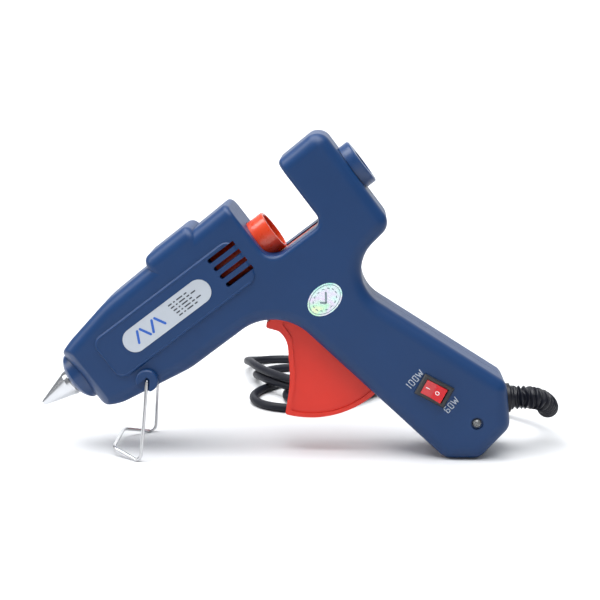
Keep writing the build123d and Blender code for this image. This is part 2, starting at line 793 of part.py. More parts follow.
def main():
    os.makedirs("parts", exist_ok=True)
    left, right = shells()
    pieces = {
        "left_shell": left,
        "right_shell": right,
        "nose_ring": nose_ring(),
        "nozzle": nozzle(),
        "melt_chamber": melt_chamber(),
        "heater": heater(),
        "heater_clip": heater_clip(),
        "heat_shield": heat_shield(),
        "feed_sleeve": feed_sleeve(),
        "sleeve_clamp": sleeve_clamp(),
        "feed_carriage": feed_carriage(),
        "grip_pawl": grip_pawl(),
        "pawl_pin": pawl_pin(),
        "trigger": trigger(),
        "trigger_pin": trigger_pin(),
        "trigger_spring": trigger_spring(),
        "rear_guide_tube": rear_guide_tube(),
        "rear_entry_ring": rear_entry_ring(),
        "stand": stand(),
        "switch_body": switch_body(),
        "switch_rocker": switch_rocker(),
        "switch_terminals": switch_terminals(),
        "indicator_lens": indicator_lens(),
        "indicator_lamp": indicator_lamp(),
        "circuit_board": circuit_board(),
        "diode": diode(),
        "heater_wires": heater_wires(),
        "mains_wires": mains_wires(),
        "cord_end": cord_end(),
        "cord_clamp": cord_clamp(),
        "clamp_screws": clamp_screws(),
        "rating_label": rating_label(),
        "oval_sticker": oval_sticker(),
        "shell_screws": shell_screws(),
    }
    tilt = Rot(0, -TILT, 0)
    box = Compound(children=[tilt * piece for piece in pieces.values()]).bounding_box()
    floor = (tilt * Pos(HANDLE_FOOT[0][0], 0, HANDLE_FOOT[0][1])).position.Z
    posture = Pos(-(box.min.X + box.max.X) / 2, 0, -floor) * tilt
    standing = {name: posture * piece for name, piece in pieces.items()}
    print("posture: tilt", round(TILT, 4), "origin of the gun's frame", posture.position)
    print("lowest point of the stand", round(standing["stand"].bounding_box().min.Z, 3))
    print("middle of the end face", (posture * Pos(*end_face_point(0))).position)
    standing["strain_relief"] = strain_relief() + posture * boot_flange()
    standing["cord"] = cord()
    standing["cord_coil"] = cord_coil()
    standing["plug"] = plug()
    standing["plug_pins"] = plug_pins()
    for name, piece in standing.items():
        export_step(piece, f"parts/{name}.step")


if __name__ == "__main__":
    main()
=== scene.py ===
import json
import math

import bmesh
import bpy
from mathutils import Matrix, Vector, geometry


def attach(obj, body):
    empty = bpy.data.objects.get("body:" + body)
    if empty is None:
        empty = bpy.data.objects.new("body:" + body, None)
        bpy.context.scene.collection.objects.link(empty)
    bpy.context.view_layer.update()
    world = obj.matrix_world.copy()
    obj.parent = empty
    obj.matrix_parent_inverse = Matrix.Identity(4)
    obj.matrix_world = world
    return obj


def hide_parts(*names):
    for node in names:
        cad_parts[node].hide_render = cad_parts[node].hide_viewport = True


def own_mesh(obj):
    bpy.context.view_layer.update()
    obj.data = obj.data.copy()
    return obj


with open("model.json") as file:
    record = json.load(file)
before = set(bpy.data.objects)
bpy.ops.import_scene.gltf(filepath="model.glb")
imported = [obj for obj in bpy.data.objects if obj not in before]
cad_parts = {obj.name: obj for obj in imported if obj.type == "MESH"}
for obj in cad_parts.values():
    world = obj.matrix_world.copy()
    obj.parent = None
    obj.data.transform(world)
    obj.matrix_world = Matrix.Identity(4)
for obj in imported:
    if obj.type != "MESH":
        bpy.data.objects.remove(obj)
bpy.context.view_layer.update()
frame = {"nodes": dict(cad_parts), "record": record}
nodes = frame["nodes"]
scene = bpy.context.scene
MM = 0.001

# The gun's own frame, tilted into its standing posture
TILT = math.radians(37.3881)
GUN_ORIGIN = Vector((-0.105649, 0.0, 0.020302))
GUN_TURN = Matrix.Rotation(-TILT, 4, "Y")


def gun_matrix():
    """Places what is drawn in the gun's own frame, in metres, on the standing gun."""
    return Matrix.Translation(GUN_ORIGIN) @ GUN_TURN


# Camera

VIEW_AZIMUTH = math.radians(2.2)
VIEW_ELEVATION = math.radians(11.5)
VIEW_DISTANCE = 0.6
VIEW_TARGET = Vector((0.01225, 0.0, 0.0695))


def add_camera():
    data = bpy.data.cameras.new("camera")
    data.lens = 80
    data.sensor_width = 36
    camera = bpy.data.objects.new("camera", data)
    scene.collection.objects.link(camera)
    back = Vector((math.sin(VIEW_AZIMUTH) * math.cos(VIEW_ELEVATION),
                   -math.cos(VIEW_AZIMUTH) * math.cos(VIEW_ELEVATION),
                   math.sin(VIEW_ELEVATION)))
    camera.location = VIEW_TARGET + back * VIEW_DISTANCE
    camera.rotation_euler = (-back).to_track_quat("-Z", "Y").to_euler()
    scene.camera = camera


add_camera()

# Cord: the route from the handle's end face to the coil, in millimetres

CORD_DIAMETER = 4.4
LEAD = [
    (105.64, 0.0, 24.95),
    (118.4, 0.0, 25.9),
    (126.2, 7.5, 20.0),
    (127.4, 18.5, 14.6),
    (128.4, 30.0, 12.4),
    (122.6, 42.5, 10.4),
    (112.4, 53.5, 7.4),
    (103.0, 65.0, 3.8),
    (96.0, 78.0, 2.2),
]

# Loose turns seen from above, from the lead round to the plug, one list per turn
TURNS = [
    [(91, 91), (90.5, 106), (85, 120), (74, 131), (60, 138), (45, 138), (30, 130), (17, 116.5),
     (6, 100.5), (1.2, 85), (4, 72.5), (15, 66), (28, 70), (38, 80), (47, 92), (56, 104),
     (66, 115), (75, 127)],
    [(80.5, 139), (77, 149.5), (66, 154), (52, 149.5), (37, 139.5), (18, 124.5), (2, 109.7),
     (-10.5, 95.5), (-15.4, 82), (-13.8, 71), (-8, 62.6), (1.5, 58), (15, 56.6), (27, 61.5),
     (37, 72), (46, 85), (56, 97), (66, 109), (76, 121)],
    [(83, 134), (83, 147), (74, 155), (60, 156.5), (43, 153), (25, 146.5), (6, 141.5),
     (-6.5, 137.5), (-14, 129.5), (-16.6, 118), (-13.6, 105), (-7.2, 93.5), (1.5, 84.5), (12, 76.5),
     (22.5, 72.5), (32.5, 75.5), (41, 83.5), (49, 93.5), (57.5, 103), (66, 112.5), (76, 124)],
    [(84, 136.5), (85, 149), (76, 157.5), (61, 159), (44, 158.5), (20, 157.5), (3, 159.3),
     (-8.6, 159.5), (-17.6, 155), (-22.4, 145.5), (-22.4, 133.5), (-19.8, 121), (-15.6, 108),
     (-9.2, 96), (-1, 85.5), (9, 76.5), (21, 71.5), (33, 74.5), (42, 84.5), (51, 96), (62, 106),
     (73, 109)],
    [(82, 112.5), (89, 121.5), (89.5, 133.5), (82, 143.5), (70.5, 146)],
]
PLUG_CENTRE = (34.0, 108.0)
PLUG_LEAN = math.radians(50.0)
PLUG_AXIS_HEIGHT = 7.0
TAIL_START = 29.0
TURN_GAP = 4.5
TURN_SLOPE = 0.22


def plug_point(along, across, height):
    """A point given along the plug's line from the coil's middle, in millimetres."""
    c, s = math.cos(PLUG_LEAN), math.sin(PLUG_LEAN)
    return Vector((PLUG_CENTRE[0] + along * c - across * s,
                   PLUG_CENTRE[1] + along * s + across * c, height))


def gap_to_run(point, start, end):
    """Distance seen from above from a point to a run, and the run's height there."""
    run = (end - start).to_2d()
    share = (point - start).to_2d().dot(run) / max(run.length_squared, 1e-9)
    place = start.lerp(end, min(max(share, 0.0), 1.0))
    return (point - place).to_2d().length, place.z


def gap_between_runs(a, b, c, d):
    """Distance seen from above between runs a-b and c-d, and the second one's height there."""
    crossing = geometry.intersect_line_line_2d(a.to_2d(), b.to_2d(), c.to_2d(), d.to_2d())
    if crossing:
        return 0.0, gap_to_run(crossing.to_3d(), c, d)[1]
    gaps = [gap_to_run(a, c, d), gap_to_run(b, c, d)]
    gaps += [(gap_to_run(p, a, b)[0], p.z) for p in (c, d)]
    return min(gaps)


def laid_down(lead, turns):
    """Lays each run of the turns on the surface, or on the runs already there."""
    path = lead + turns
    along = [0.0]
    for a, b in zip(path, path[1:]):
        along.append(along[-1] + (b - a).to_2d().length)
    first = len(lead)
    for i in range(first, len(path)):
        rest = path[i].z
        for j in range(i - 1):
            if along[i - 1] - along[j + 1] < 5 * CORD_DIAMETER:
                break
            gap, height = gap_between_runs(path[i - 1], path[i], path[j], path[j + 1])
            if gap < TURN_GAP:
                rest = max(rest, height + math.sqrt(TURN_GAP ** 2 - gap ** 2))
        path[i].z = max(rest, path[i - 1].z - TURN_SLOPE * (along[i] - along[i - 1]))
        path[i - 1].z = max(path[i - 1].z, rest)
        k = i - 2
        while k >= first and path[k].z < rest - TURN_SLOPE * (along[i - 1] - along[k]):
            path[k].z = rest - TURN_SLOPE * (along[i - 1] - along[k])
            k -= 1
    return path


def cord_route():
    """The whole cord's points in millimetres, from the handle to inside the plug."""
    floor = CORD_DIAMETER / 2
    lead = [Vector(p) for p in LEAD]
    turns = [Vector((x, y, floor)) for turn in TURNS for x, y in turn]
    tail = [plug_point(42, 0, PLUG_AXIS_HEIGHT + 1), plug_point(34, 0, PLUG_AXIS_HEIGHT),
            plug_point(23, 0, PLUG_AXIS_HEIGHT)]
    return laid_down(lead, turns) + tail


def nurbs_cord(name, route, diameter):
    """A round cord on one smooth spline, and the points of its centre line in metres."""
    curve = bpy.data.curves.new(name, "CURVE")
    curve.dimensions = "3D"
    spline = curve.splines.new("NURBS")
    spline.points.add(len(route) - 1)
    for point, place in zip(spline.points, route):
        point.co = (*(place * MM), 1.0)
    spline.order_u = 3
    spline.use_endpoint_u = True
    curve.resolution_u = 6
    piece = bpy.data.objects.new(name, curve)
    scene.collection.objects.link(piece)
    line = bpy.data.meshes.new_from_object(piece)
    centre_line = [v.co.copy() for v in line.vertices]
    bpy.data.meshes.remove(line)
    curve.bevel_depth = diameter / 2 * MM
    curve.bevel_resolution = 6
    curve.use_fill_caps = True
    return piece, centre_line


cord, cord_line = nurbs_cord("mains_cord", cord_route(), CORD_DIAMETER)

# Meshes


def mesh_piece(name, verts, faces):
    """A smoothly shaded piece."""
    mesh = bpy.data.meshes.new(name)
    mesh.from_pydata([tuple(v) for v in verts], [], faces)
    mesh.validate()
    mesh.update()
    mesh.polygons.foreach_set("use_smooth", [True] * len(mesh.polygons))
    piece = bpy.data.objects.new(name, mesh)
    scene.collection.objects.link(piece)
    return piece


def line_frames(line, length, step):
    """Evenly spaced places from a line's start, with a steady pair of directions across it."""
    marks, total, wanted = [], 0.0, 0.0
    across = None
    for a, b in zip(line, line[1:]):
        run = (b - a).length
        while run > 0 and wanted <= total + run and wanted <= length + 1e-9:
            ahead = (b - a).normalized()
            if across is None:
                across = ahead.cross(Vector((0, 1, 0))).normalized()
            across = (across - ahead * across.dot(ahead)).normalized()
            place = a.lerp(b, (wanted - total) / run)
            marks.append((place, across.copy(), ahead.cross(across)))
            wanted += step
        total += run
    return marks


def smoothstep(edge0, edge1, value):
    t = min(max((value - edge0) / (edge1 - edge0), 0.0), 1.0)
    return t * t * (3 - 2 * t)


def tube_faces(rings, around):
    """Faces of a closed tube made of rings of points, with an end face at each end."""
    faces = []
    for i in range(rings - 1):
        for j in range(around):
            k = (j + 1) % around
            faces.append((i * around + j, i * around + k, (i + 1) * around + k, (i + 1) * around + j))
    last = (rings - 1) * around
    faces.append(tuple(range(around - 1, -1, -1)))
    faces.append(tuple(range(last, last + around)))
    return faces


BOOT_LENGTH = 33.0
BOOT_PITCH = 2.6


def boot_radius(along, angle):
    """Radius in millimetres: flange, collar, bunched helical ribs and a round end bead."""
    body = 5.5 - 0.9 * smoothstep(0, BOOT_LENGTH, along)
    wander = 0.12 * math.sin(2 * angle + along) + 0.1 * math.sin(3 * angle - 0.7 * along)
    turn = (along / BOOT_PITCH + 0.012 * along ** 1.5 - angle / math.tau + wander) % 1.0
    rib = 0.5 - 0.5 * math.cos(math.tau * turn)
    start = smoothstep(2.8, 4.2, along)
    end = 1 - smoothstep(BOOT_LENGTH - 4.8, BOOT_LENGTH - 3.6, along)
    depth = 1.4 - 0.55 * smoothstep(12, 24, along)
    radius = body - depth * start * end * (1 - rib) - 0.5 * (1 - end)
    bead = (along - (BOOT_LENGTH - 2.0)) / 2.0
    if abs(bead) < 1:
        radius = max(radius, 3.0 + 2.0 * math.sqrt(1 - bead * bead))
    flange = 1 - smoothstep(1.6, 2.2, along)
    return radius + flange * (6.7 - radius)


def add_boot():
    around, step = 48, 0.2
    marks = line_frames(cord_line, BOOT_LENGTH * MM, step * MM)
    verts = []
    for i, (place, across, other) in enumerate(marks):
        for j in range(around):
            angle = math.tau * j / around
            radius = boot_radius(i * step, angle) * MM
            verts.append(place + (across * math.cos(angle) + other * math.sin(angle)) * radius)
    return mesh_piece("cord_boot", verts, tube_faces(len(marks), around))


boot = add_boot()


def add_plug():
    """Moulded flat plug: a waisted body with finger ridges, and a slotted tapering tail."""
    body_start, body_end = 19.0, -11.0
    rows, around = 90, 56
    verts = []
    tail_end = TAIL_START + 2.4
    for i in range(rows + 1):
        u = tail_end + (body_end - tail_end) * i / rows
        if u > body_start:
            share = (tail_end - u) / (tail_end - body_start)
            slot = 0.5 * smoothstep(0.3, 0.8, 0.5 - 0.5 * math.cos(math.tau * (u - body_start) / 2.4))
            half_w = half_h = 3.1 + 1.9 * share - (slot if 0.1 < share < 0.86 else 0)
            power = 2.0
        else:
            share = (body_start - u) / (body_start - body_end)
            shoulder = math.sqrt(max(0.0, 1 - (1 - min(share / 0.2, 1)) ** 2))
            face_end = math.sqrt(max(0.0, 1 - max(0.0, (share - 0.95) / 0.055) ** 2))
            waist = 0.8 * math.sin(math.pi * min(share / 0.75, 1)) ** 2
            ridge = 0.28 * math.cos(math.tau * u / 2.2) if 0.25 < share < 0.62 else 0
            half_w = (5.0 + 7.8 * shoulder - waist + ridge) * (0.9 + 0.1 * face_end)
            half_h = (5.0 + 1.9 * shoulder) * (0.9 + 0.1 * face_end)
            power = 2.0 + 2.2 * shoulder
        for j in range(around):
            angle = math.tau * j / around
            c, s = math.cos(angle), math.sin(angle)
            across = math.copysign(abs(c) ** (2 / power), c) * half_w
            up = math.copysign(abs(s) ** (2 / power), s) * half_h
            verts.append(plug_point(u, across, PLUG_AXIS_HEIGHT + up) * MM)
    return mesh_piece("mains_plug", verts, tube_faces(rows + 1, around))


plug = add_plug()

# Marks: flat shapes laid on the gun's near side, drawn in the gun's frame in millimetres


def polygon_mark(name, outlines, y, body, thickness=0.04):
    """Thin raised shapes from outlines of (x, z), their front face at y."""
    bm = bmesh.new()
    for outline in outlines:
        front = [bm.verts.new((x * MM, (y - thickness) * MM, z * MM)) for x, z in outline]
        back = [bm.verts.new((x * MM, y * MM, z * MM)) for x, z in outline]
        bm.faces.new(front)
        bm.faces.new(list(reversed(back)))
        for i in range(len(outline)):
            k = (i + 1) % len(outline)
            bm.faces.new((front[k], front[i], back[i], back[k]))
    bmesh.ops.recalc_face_normals(bm, faces=bm.faces)
    mesh = bpy.data.meshes.new(name)
    bm.to_mesh(mesh)
    bm.free()
    piece = bpy.data.objects.new(name, mesh)
    scene.collection.objects.link(piece)
    piece.matrix_world = gun_matrix()
    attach(piece, body)
    return piece


def bar(x, z, length, width, turn=0.0):
    """A round-ended bar about (x, z), turned in degrees."""
    points = []
    for end in (1, -1):
        for k in range(9):
            angle = math.pi * (k / 8 - 0.5)
            points.append((end * ((length - width) / 2 + width / 2 * math.cos(angle)),
                           end * width / 2 * math.sin(angle)))
    c, s = math.cos(math.radians(turn)), math.sin(math.radians(turn))
    return [(x + a * c - b * s, z + a * s + b * c) for a, b in points]


def ring_pieces(x, z, outer_x, outer_z, width, turn=0.0, parts=40):
    """An oval ring, as short four-sided pieces."""
    c, s = math.cos(math.radians(turn)), math.sin(math.radians(turn))
    pieces = []
    for k in range(parts):
        corners = []
        for share, inset in ((k, 0), (k + 1, 0), (k + 1, width), (k, width)):
            angle = math.radians(360.0 * share / parts)
            a, b = (outer_x - inset) * math.cos(angle), (outer_z - inset) * math.sin(angle)
            corners.append((x + a * c - b * s, z + a * s + b * c))
        pieces.append(corners)
    return pieces


SEVEN_BARS = {"0": "abcdef", "1": "bc", "6": "acdefg"}


def bar_sign(sign, x, z, height, width, stroke, turn):
    """A numeral or a W made of straight strokes."""
    h, w = height / 2, width / 2
    if sign == "W":
        tops = [(-1.3 * w, h), (-0.65 * w, -h), (0, h * 0.6), (0.65 * w, -h), (1.3 * w, h)]
        strokes = list(zip(tops, tops[1:]))
    else:
        lines = {"a": ((-w, h), (w, h)), "b": ((w, h), (w, 0)), "c": ((w, 0), (w, -h)),
                 "d": ((w, -h), (-w, -h)), "e": ((-w, -h), (-w, 0)), "f": ((-w, 0), (-w, h)),
                 "g": ((-w, 0), (w, 0))}
        strokes = [lines[k] for k in SEVEN_BARS[sign]]
    c, s = math.cos(math.radians(turn)), math.sin(math.radians(turn))
    shapes = []
    for (x0, z0), (x1, z1) in strokes:
        mx, mz = (x0 + x1) / 2, (z0 + z1) / 2
        length = math.hypot(x1 - x0, z1 - z0) + stroke
        angle = math.degrees(math.atan2(z1 - z0, x1 - x0))
        shapes.append(bar(x + mx * c - mz * s, z + mx * s + mz * c, length, stroke, turn + angle))
    return shapes


def sign_row(signs, x, z, height, turn):
    """Signs in a row centred on (x, z)."""
    widths = [height * (0.25 if k == "1" else 0.56 if k != "W" else 0.8) for k in signs]
    gap = height * 0.3
    total = sum(widths) + gap * (len(signs) - 1)
    c, s = math.cos(math.radians(turn)), math.sin(math.radians(turn))
    shapes, at = [], -total / 2
    for sign, width in zip(signs, widths):
        middle = at + width / 2
        drawn = width * (0.1 if sign == "1" else 0.85)
        shapes += bar_sign(sign, x + middle * c, z + middle * s, height, drawn, height * 0.125, turn)
        at += width + gap
    return shapes


SIDE = -16.5
PANEL_FACE = 17.3
SWITCH_X, SWITCH_Z, SWITCH_LEAN = 148.75, -98.3, 25.0
watt_marks = [
    polygon_mark("mark_high_heat", sign_row("100W", 144.9, -89.1, 2.9, 12.0), SIDE, "gun"),
    polygon_mark("mark_low_heat", sign_row("60W", 150.8, -108.2, 2.9, 12.0), SIDE, "gun"),
]


def label_shapes():
    """Generic marks on the capsule label: a zigzag device, and rows of dashes."""
    device, dashes = [], []
    x0, z0 = 59.0, -0.6
    for k in range(4):
        device.append(bar(x0 + k * 4.1, z0 + 0.2, 6.4, 1.15, 62 if k % 2 == 0 else -62))
    for row in range(5):
        z = z0 + 3.1 - row * 1.55
        x = 78.2 + 0.35 * row
        for length in (2.1, 1.0, 3.4, 1.6, 2.6)[:5 if row % 2 else 4]:
            dashes.append(bar(x + length / 2, z, length, 0.62))
            x += length + 0.75
    return device, dashes


LABEL_FACE = -PANEL_FACE - 0.25
label_device, label_dashes = label_shapes()
device_mark = polygon_mark("label_device", label_device, LABEL_FACE, "gun")
dash_mark = polygon_mark("label_dashes", label_dashes, LABEL_FACE, "gun")

STICKER_X, STICKER_Z, STICKER_TURN = 134.9, -36.6, 6.5
STICKER_FACE = SIDE - 0.15


def sticker_shapes():
    """Generic marks on the oval sticker: a tick inside a thin ring, with dashes round it."""
    shapes = ring_pieces(STICKER_X, STICKER_Z, 7.9, 5.6, 0.28, STICKER_TURN)
    c, s = math.cos(math.radians(STICKER_TURN)), math.sin(math.radians(STICKER_TURN))

    def place(a, b):
        return STICKER_X + a * c - b * s, STICKER_Z + a * s + b * c

    shapes.append(bar(*place(-1.55, -0.55), 3.0, 0.9, STICKER_TURN - 48))
    shapes.append(bar(*place(1.0, 0.35), 5.2, 0.9, STICKER_TURN + 48))
    for k in range(14):
        angle = math.tau * (k + 0.5) / 14
        shapes.append(bar(*place(5.9 * math.cos(angle), 4.15 * math.sin(angle)), 1.2, 0.42,
                          STICKER_TURN + math.degrees(angle) + 90))
    return shapes


sticker_mark = polygon_mark("sticker_marks", sticker_shapes(), STICKER_FACE, "gun")


# The rocker's face falls from its ends to its middle
ROCKER_REST = math.radians(-8.0)
ROCKER_MIDDLE, ROCKER_FALL, ROCKER_HALF = -1.9, 0.9, 4.95


def add_rocker_marks():
    """A white bar and ring on the rocker's two halves."""
    pieces = []
    for name, along, shapes in (
            ("mark_on", 3.0, [bar(0, 0, 2.0, 0.34, 90)]),
            ("mark_off", -1.7, ring_pieces(0, 0, 0.85, 1.0, 0.27, parts=28))):
        slope = math.atan2(ROCKER_FALL, ROCKER_HALF) * (1 if along > 0 else -1)
        height = ROCKER_MIDDLE - ROCKER_FALL * abs(along) / ROCKER_HALF
        piece = polygon_mark(name, shapes, 0.0, "switch_rocker", 0.05)
        local = (Matrix.Rotation(math.radians(-SWITCH_LEAN), 4, "Y")
                 @ Matrix.Rotation(ROCKER_REST, 4, "X")
                 @ Matrix.Translation(Vector((0, height, along)) * MM)
                 @ Matrix.Rotation(slope, 4, "X"))
        place = Matrix.Translation(Vector((SWITCH_X, SIDE, SWITCH_Z)) * MM)
        piece.matrix_world = gun_matrix() @ place @ local
        pieces.append(piece)
    return pieces


rocker_marks = add_rocker_marks()


def add_panel_bead(name, side):
    """A thin raised line inside the side panel's outline, open at the vents."""
    profile = ((-0.4, 0.0), (-0.22, 0.16), (0.0, 0.22), (0.22, 0.16), (0.4, 0.0))
    turns = [(114.0, 5.4, 90)]
    turns += [(45.0, 5.4, 90 + 90 * k / 8) for k in range(9)]
    turns += [(45.0, -6.8, 180 + 90 * k / 8) for k in range(9)]
    turns += [(114.0, -6.8, 270)]
    verts = []
    for x, z, degrees in turns:
        angle = math.radians(degrees)
        for out, rise in profile:
            reach = 4.0 + out
            verts.append(((x + reach * math.cos(angle)) * MM, side * (PANEL_FACE + rise) * MM,
                          (z + reach * math.sin(angle)) * MM))
    across = len(profile)
    faces = []
    for i in range(len(turns) - 1):
        for j in range(across - 1):
            a = i * across + j
            face = (a, a + 1, a + 1 + across, a + across)
            faces.append(face if side > 0 else tuple(reversed(face)))
    piece = mesh_piece(name, verts, faces)
    piece.matrix_world = gun_matrix()
    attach(piece, "gun")
    return piece


panel_beads = [add_panel_bead("panel_bead_left", -1), add_panel_bead("panel_bead_right", 1)]

# Materials


def new_material(name):
    """A material with its node tree, its shader and the object's own coordinates."""
    material = bpy.data.materials.new(name)
    material.use_nodes = True
    tree = material.node_tree
    shader = next(n for n in tree.nodes if n.type == "BSDF_PRINCIPLED")
    where = tree.nodes.new("ShaderNodeTexCoord")
    return material, tree, shader, where.outputs["Object"]


def noise(tree, where, scale, detail=3.0, stretch=None):
    """Noise whose scale is in cells per millimetre."""
    if stretch:
        mapping = tree.nodes.new("ShaderNodeMapping")
        mapping.inputs["Scale"].default_value = stretch
        tree.links.new(where, mapping.inputs["Vector"])
        where = mapping.outputs["Vector"]
    node = tree.nodes.new("ShaderNodeTexNoise")
    node.inputs["Scale"].default_value = scale / MM
    node.inputs["Detail"].default_value = detail
    tree.links.new(where, node.inputs["Vector"])
    return node.outputs["Fac"]


def ramp(tree, value, stops):
    """Colour by value, from stops of (position, colour)."""
    node = tree.nodes.new("ShaderNodeValToRGB")
    node.color_ramp.elements[0].position = stops[0][0]
    node.color_ramp.elements[0].color = (*stops[0][1], 1)
    node.color_ramp.elements[1].position = stops[-1][0]
    node.color_ramp.elements[1].color = (*stops[-1][1], 1)
    for position, colour in stops[1:-1]:
        node.color_ramp.elements.new(position).color = (*colour, 1)
    tree.links.new(value, node.inputs["Fac"])
    return node.outputs["Color"]


def spread(tree, value, low, high):
    """A value of 0 to 1 spread between low and high."""
    node = tree.nodes.new("ShaderNodeMapRange")
    node.inputs["To Min"].default_value = low
    node.inputs["To Max"].default_value = high
    tree.links.new(value, node.inputs["Value"])
    return node.outputs["Result"]


def add_bump(tree, shader, heights):
    """Bump from a list of (value, strength, depth in millimetres)."""
    normal = None
    for value, strength, depth in heights:
        node = tree.nodes.new("ShaderNodeBump")
        node.inputs["Strength"].default_value = strength
        node.inputs["Distance"].default_value = depth * MM
        tree.links.new(value, node.inputs["Height"])
        if normal:
            tree.links.new(normal, node.inputs["Normal"])
        normal = node.outputs["Normal"]
    tree.links.new(normal, shader.inputs["Normal"])


def shade(colour, factor):
    return tuple(min(c * factor, 1.0) for c in colour)


def moulded(name, colour, rough=0.45, grain=2.2, depth=0.03, patchy=0.08, settings=None):
    """Moulded plastic or rubber: fine grain, faint patches of shade and gloss."""
    material, tree, shader, where = new_material(name)
    patches = noise(tree, where, 0.035, 4.0)
    grains = noise(tree, where, grain, 2.0)
    tint = ramp(tree, patches, [(0.3, shade(colour, 1 - patchy)), (0.7, shade(colour, 1 + patchy))])
    tree.links.new(tint, shader.inputs["Base Color"])
    tree.links.new(spread(tree, noise(tree, where, 0.4, 3.0), rough - 0.05, rough + 0.05),
                   shader.inputs["Roughness"])
    add_bump(tree, shader, [(patches, 0.08, 0.3), (grains, 0.35, depth)])
    for key, value in (settings or {}).items():
        shader.inputs[key].default_value = value
    return material


def metal(name, colour, rough=0.25, stretch=(1, 1, 1), grain=1.5, depth=0.01, patchy=0.1, metallic=1.0):
    """Metal with fine drawn or turned marks and cloudy gloss."""
    material, tree, shader, where = new_material(name)
    clouds = noise(tree, where, 0.12, 4.0)
    marks = noise(tree, where, grain, 3.0, stretch)
    tree.links.new(ramp(tree, clouds, [(0.3, shade(colour, 1 - patchy)), (0.7, colour)]),
                   shader.inputs["Base Color"])
    tree.links.new(spread(tree, marks, rough * 0.7, rough * 1.3), shader.inputs["Roughness"])
    shader.inputs["Metallic"].default_value = metallic
    add_bump(tree, shader, [(marks, 0.3, depth)])
    return material


def iridescent(name):
    """Silvered film whose tint wanders between green, violet and gold."""
    material, tree, shader, where = new_material(name)
    drift = noise(tree, where, 0.09, 2.0)
    tint = ramp(tree, drift, [(0.32, (0.25, 0.75, 0.62)), (0.44, (0.62, 0.8, 0.78)),
                              (0.52, (0.72, 0.62, 0.8)), (0.62, (0.45, 0.8, 0.55)),
                              (0.72, (0.85, 0.8, 0.5))])
    tree.links.new(tint, shader.inputs["Base Color"])
    tree.links.new(spread(tree, noise(tree, where, 1.2, 2.0), 0.22, 0.34), shader.inputs["Roughness"])
    shader.inputs["Metallic"].default_value = 0.55
    shader.inputs["Coat Weight"].default_value = 0.5
    return material


def board_material(name, colour):
    material, tree, shader, where = new_material(name)
    fibres = noise(tree, where, 0.5, 5.0, (1, 1, 6))
    tree.links.new(ramp(tree, fibres, [(0.35, shade(colour, 0.8)), (0.65, shade(colour, 1.15))]),
                   shader.inputs["Base Color"])
    tree.links.new(spread(tree, fibres, 0.5, 0.7), shader.inputs["Roughness"])
    add_bump(tree, shader, [(fibres, 0.3, 0.05)])
    return material


